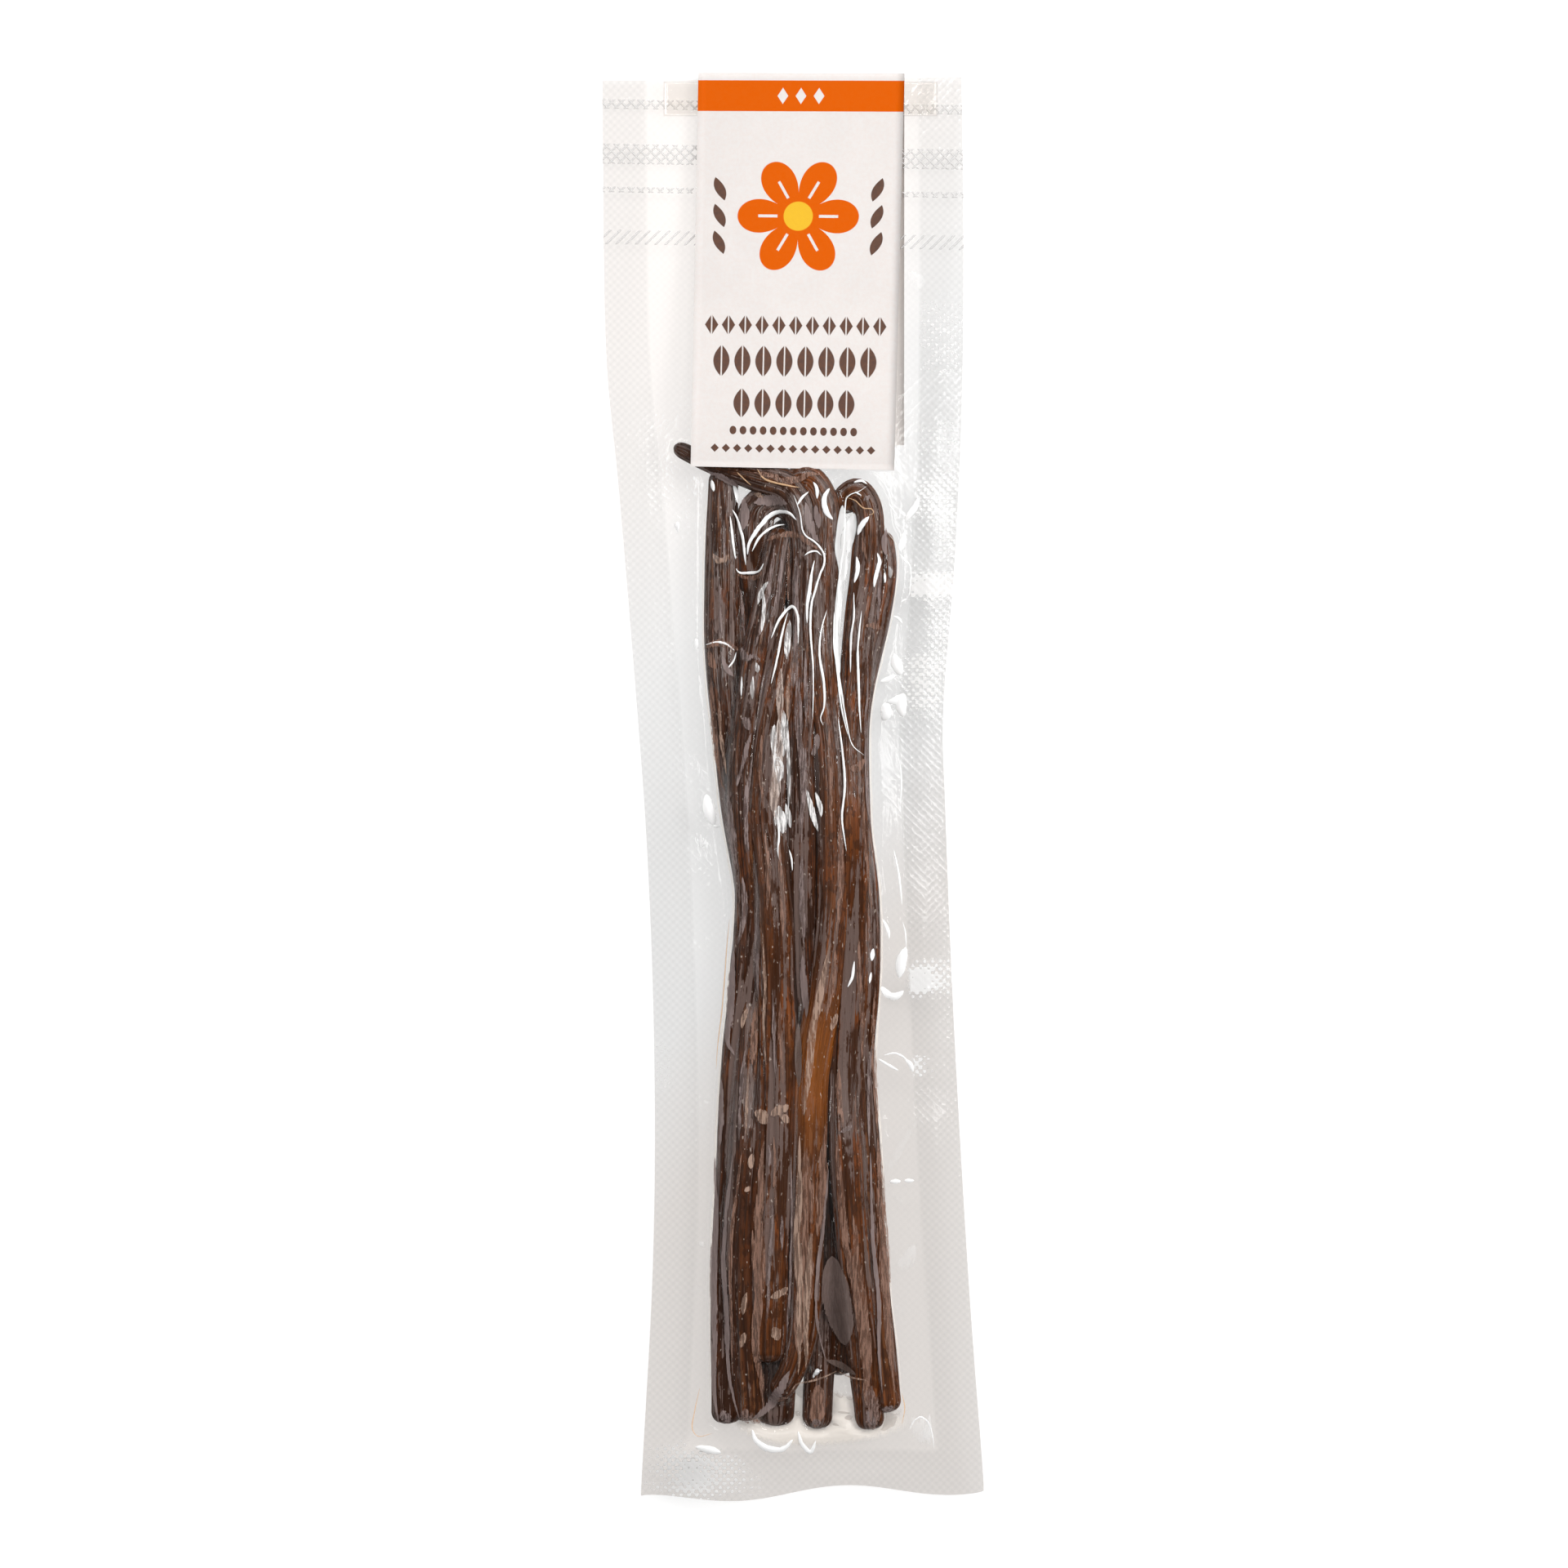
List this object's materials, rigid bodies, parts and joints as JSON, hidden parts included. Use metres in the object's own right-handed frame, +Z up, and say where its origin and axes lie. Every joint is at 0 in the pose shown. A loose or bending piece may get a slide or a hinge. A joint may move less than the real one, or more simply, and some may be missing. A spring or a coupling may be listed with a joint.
{
  "type": "vacuum pack of vanilla pods",
  "caption": "Long clear vacuum pouch sucked tight round a bundle of dried vanilla pods, with a folded paper label taped over its top edge.",
  "frame": {"origin": "on the surface that the pack lies on, under the middle of its box", "axes": "+X across the pack, +Y along it from the bottom seal to the label, +Z up out of the front"},
  "size_m": [0.068, 0.2548, 0.01],
  "materials": {
    "filled_pouch": "dark brown pods under clear glossy film",
    "film": "thin clear glossy film, finely embossed in the sealed margins",
    "pods": "oily dark brown skin with fine lengthwise wrinkles",
    "label_paper": "smooth white paper printed in flat colours",
    "clear_tape": "clear glossy sticky tape"
  },
  "bodies": {
    "root": {"pouch": "filled_pouch", "label": "label_paper", "tape": "clear_tape"}
  },
  "joints": []
}
